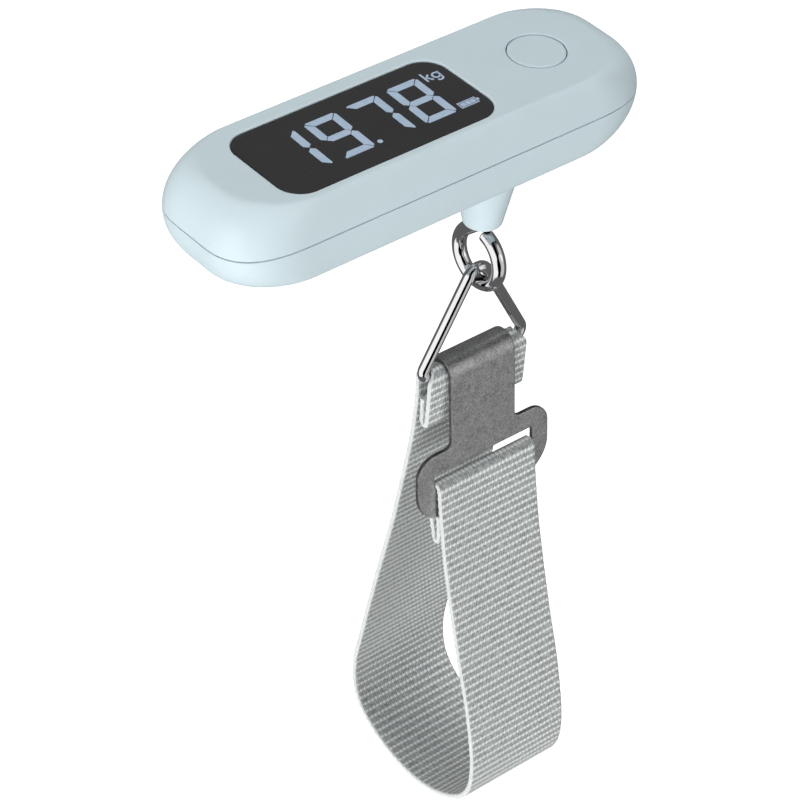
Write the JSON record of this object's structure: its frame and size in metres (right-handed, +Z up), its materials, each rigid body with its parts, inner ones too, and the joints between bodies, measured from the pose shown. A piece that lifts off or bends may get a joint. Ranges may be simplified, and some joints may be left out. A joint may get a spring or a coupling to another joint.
{
  "type": "digital luggage scale",
  "caption": "Hand-held digital luggage scale: display casing with load cell, swivelling eye, triangle link, webbing loop and hook plate that closes the loop.",
  "frame": {"origin": "on the flat top of the casing, where the axis of the swivelling hook meets it", "axes": "+Z up, with the strap hanging along -Z; +X along the casing from the display towards the button; +Y away from the person reading the digits"},
  "size_m": [0.0998, 0.0412, 0.1789],
  "materials": {
    "case_plastic": "satin",
    "window_plastic": "gloss",
    "lcd_glass": "gloss",
    "light_panel": "matt",
    "board": "matt",
    "black_plastic": "matt",
    "dark_rubber": "matt",
    "chrome": "polished",
    "satin_steel": "bead-blasted",
    "zinc_steel": "plated",
    "aluminium": "machined",
    "brass": "polished",
    "gauge_foil": "matt",
    "webbing": "woven"
  },
  "bodies": {
    "casing": {"button_switch": "black_plastic", "case_screw_1": "zinc_steel", "case_screw_2": "zinc_steel", "case_screw_3": "zinc_steel", "case_screw_4": "zinc_steel", "cell_screw_1": "zinc_steel", "cell_screw_2": "zinc_steel", "cell_spacer": "aluminium", "circuit_board": "board", "coin_cell": "zinc_steel", "contact_side": "brass", "contact_top": "brass", "controller_chip": "black_plastic", "display_window": "window_plastic", "gauge_cable": "dark_rubber", "gauge_lower": "gauge_foil", "gauge_upper": "gauge_foil", "lcd_glass": "lcd_glass", "light_panel": "light_panel", "load_cell": "aluminium", "lower_shell": "case_plastic", "stem_sleeve": "case_plastic", "swivel_bush": "black_plastic", "upper_shell": "case_plastic", "zebra_strip_back": "dark_rubber", "zebra_strip_front": "dark_rubber"},
    "button": {"power_button": "case_plastic"},
    "switch_key": {"switch_plunger": "dark_rubber"},
    "battery_cover": {"battery_cap": "case_plastic"},
    "hook": {"eye_hook": "chrome", "shank_nut": "zinc_steel", "shank_washer": "zinc_steel"},
    "link": {"triangle_link": "chrome"},
    "strap_assembly": {"strap": "webbing", "hook_plate": "satin_steel"}
  },
  "joints": [
    {"name": "button_press", "type": "slide", "parent": "casing", "child": "button", "axis": [0, 0, -1], "range_m": [0, 0.0006], "stiffness_N_per_m": 1500},
    {"name": "switch_travel", "type": "slide", "parent": "casing", "child": "switch_key", "axis": [0, 0, -1], "range_m": [0, 0.0006]},
    {"name": "cover_turn", "type": "hinge", "parent": "casing", "child": "battery_cover", "pos_m": [-0.0495, 0, -0.01754], "axis": [0, 0, -1], "range_deg": [-60, 0]},
    {"name": "hook_swivel", "type": "hinge", "parent": "casing", "child": "hook", "pos_m": [0, 0, -0.03], "axis": [0, 0, 1], "continuous": true},
    {"name": "link_swing", "type": "hinge", "parent": "hook", "child": "link", "pos_m": [0, 0, -0.0499], "axis": [0, 1, 0], "range_deg": [-60, 60]},
    {"name": "strap_swing", "type": "hinge", "parent": "link", "child": "strap_assembly", "pos_m": [0, 0, -0.06941], "axis": [1, 0, 0], "range_deg": [-40, 40]}
  ],
  "couplings": [
    {"joint": "switch_travel", "follows": "button_press", "ratio": 1}
  ]
}
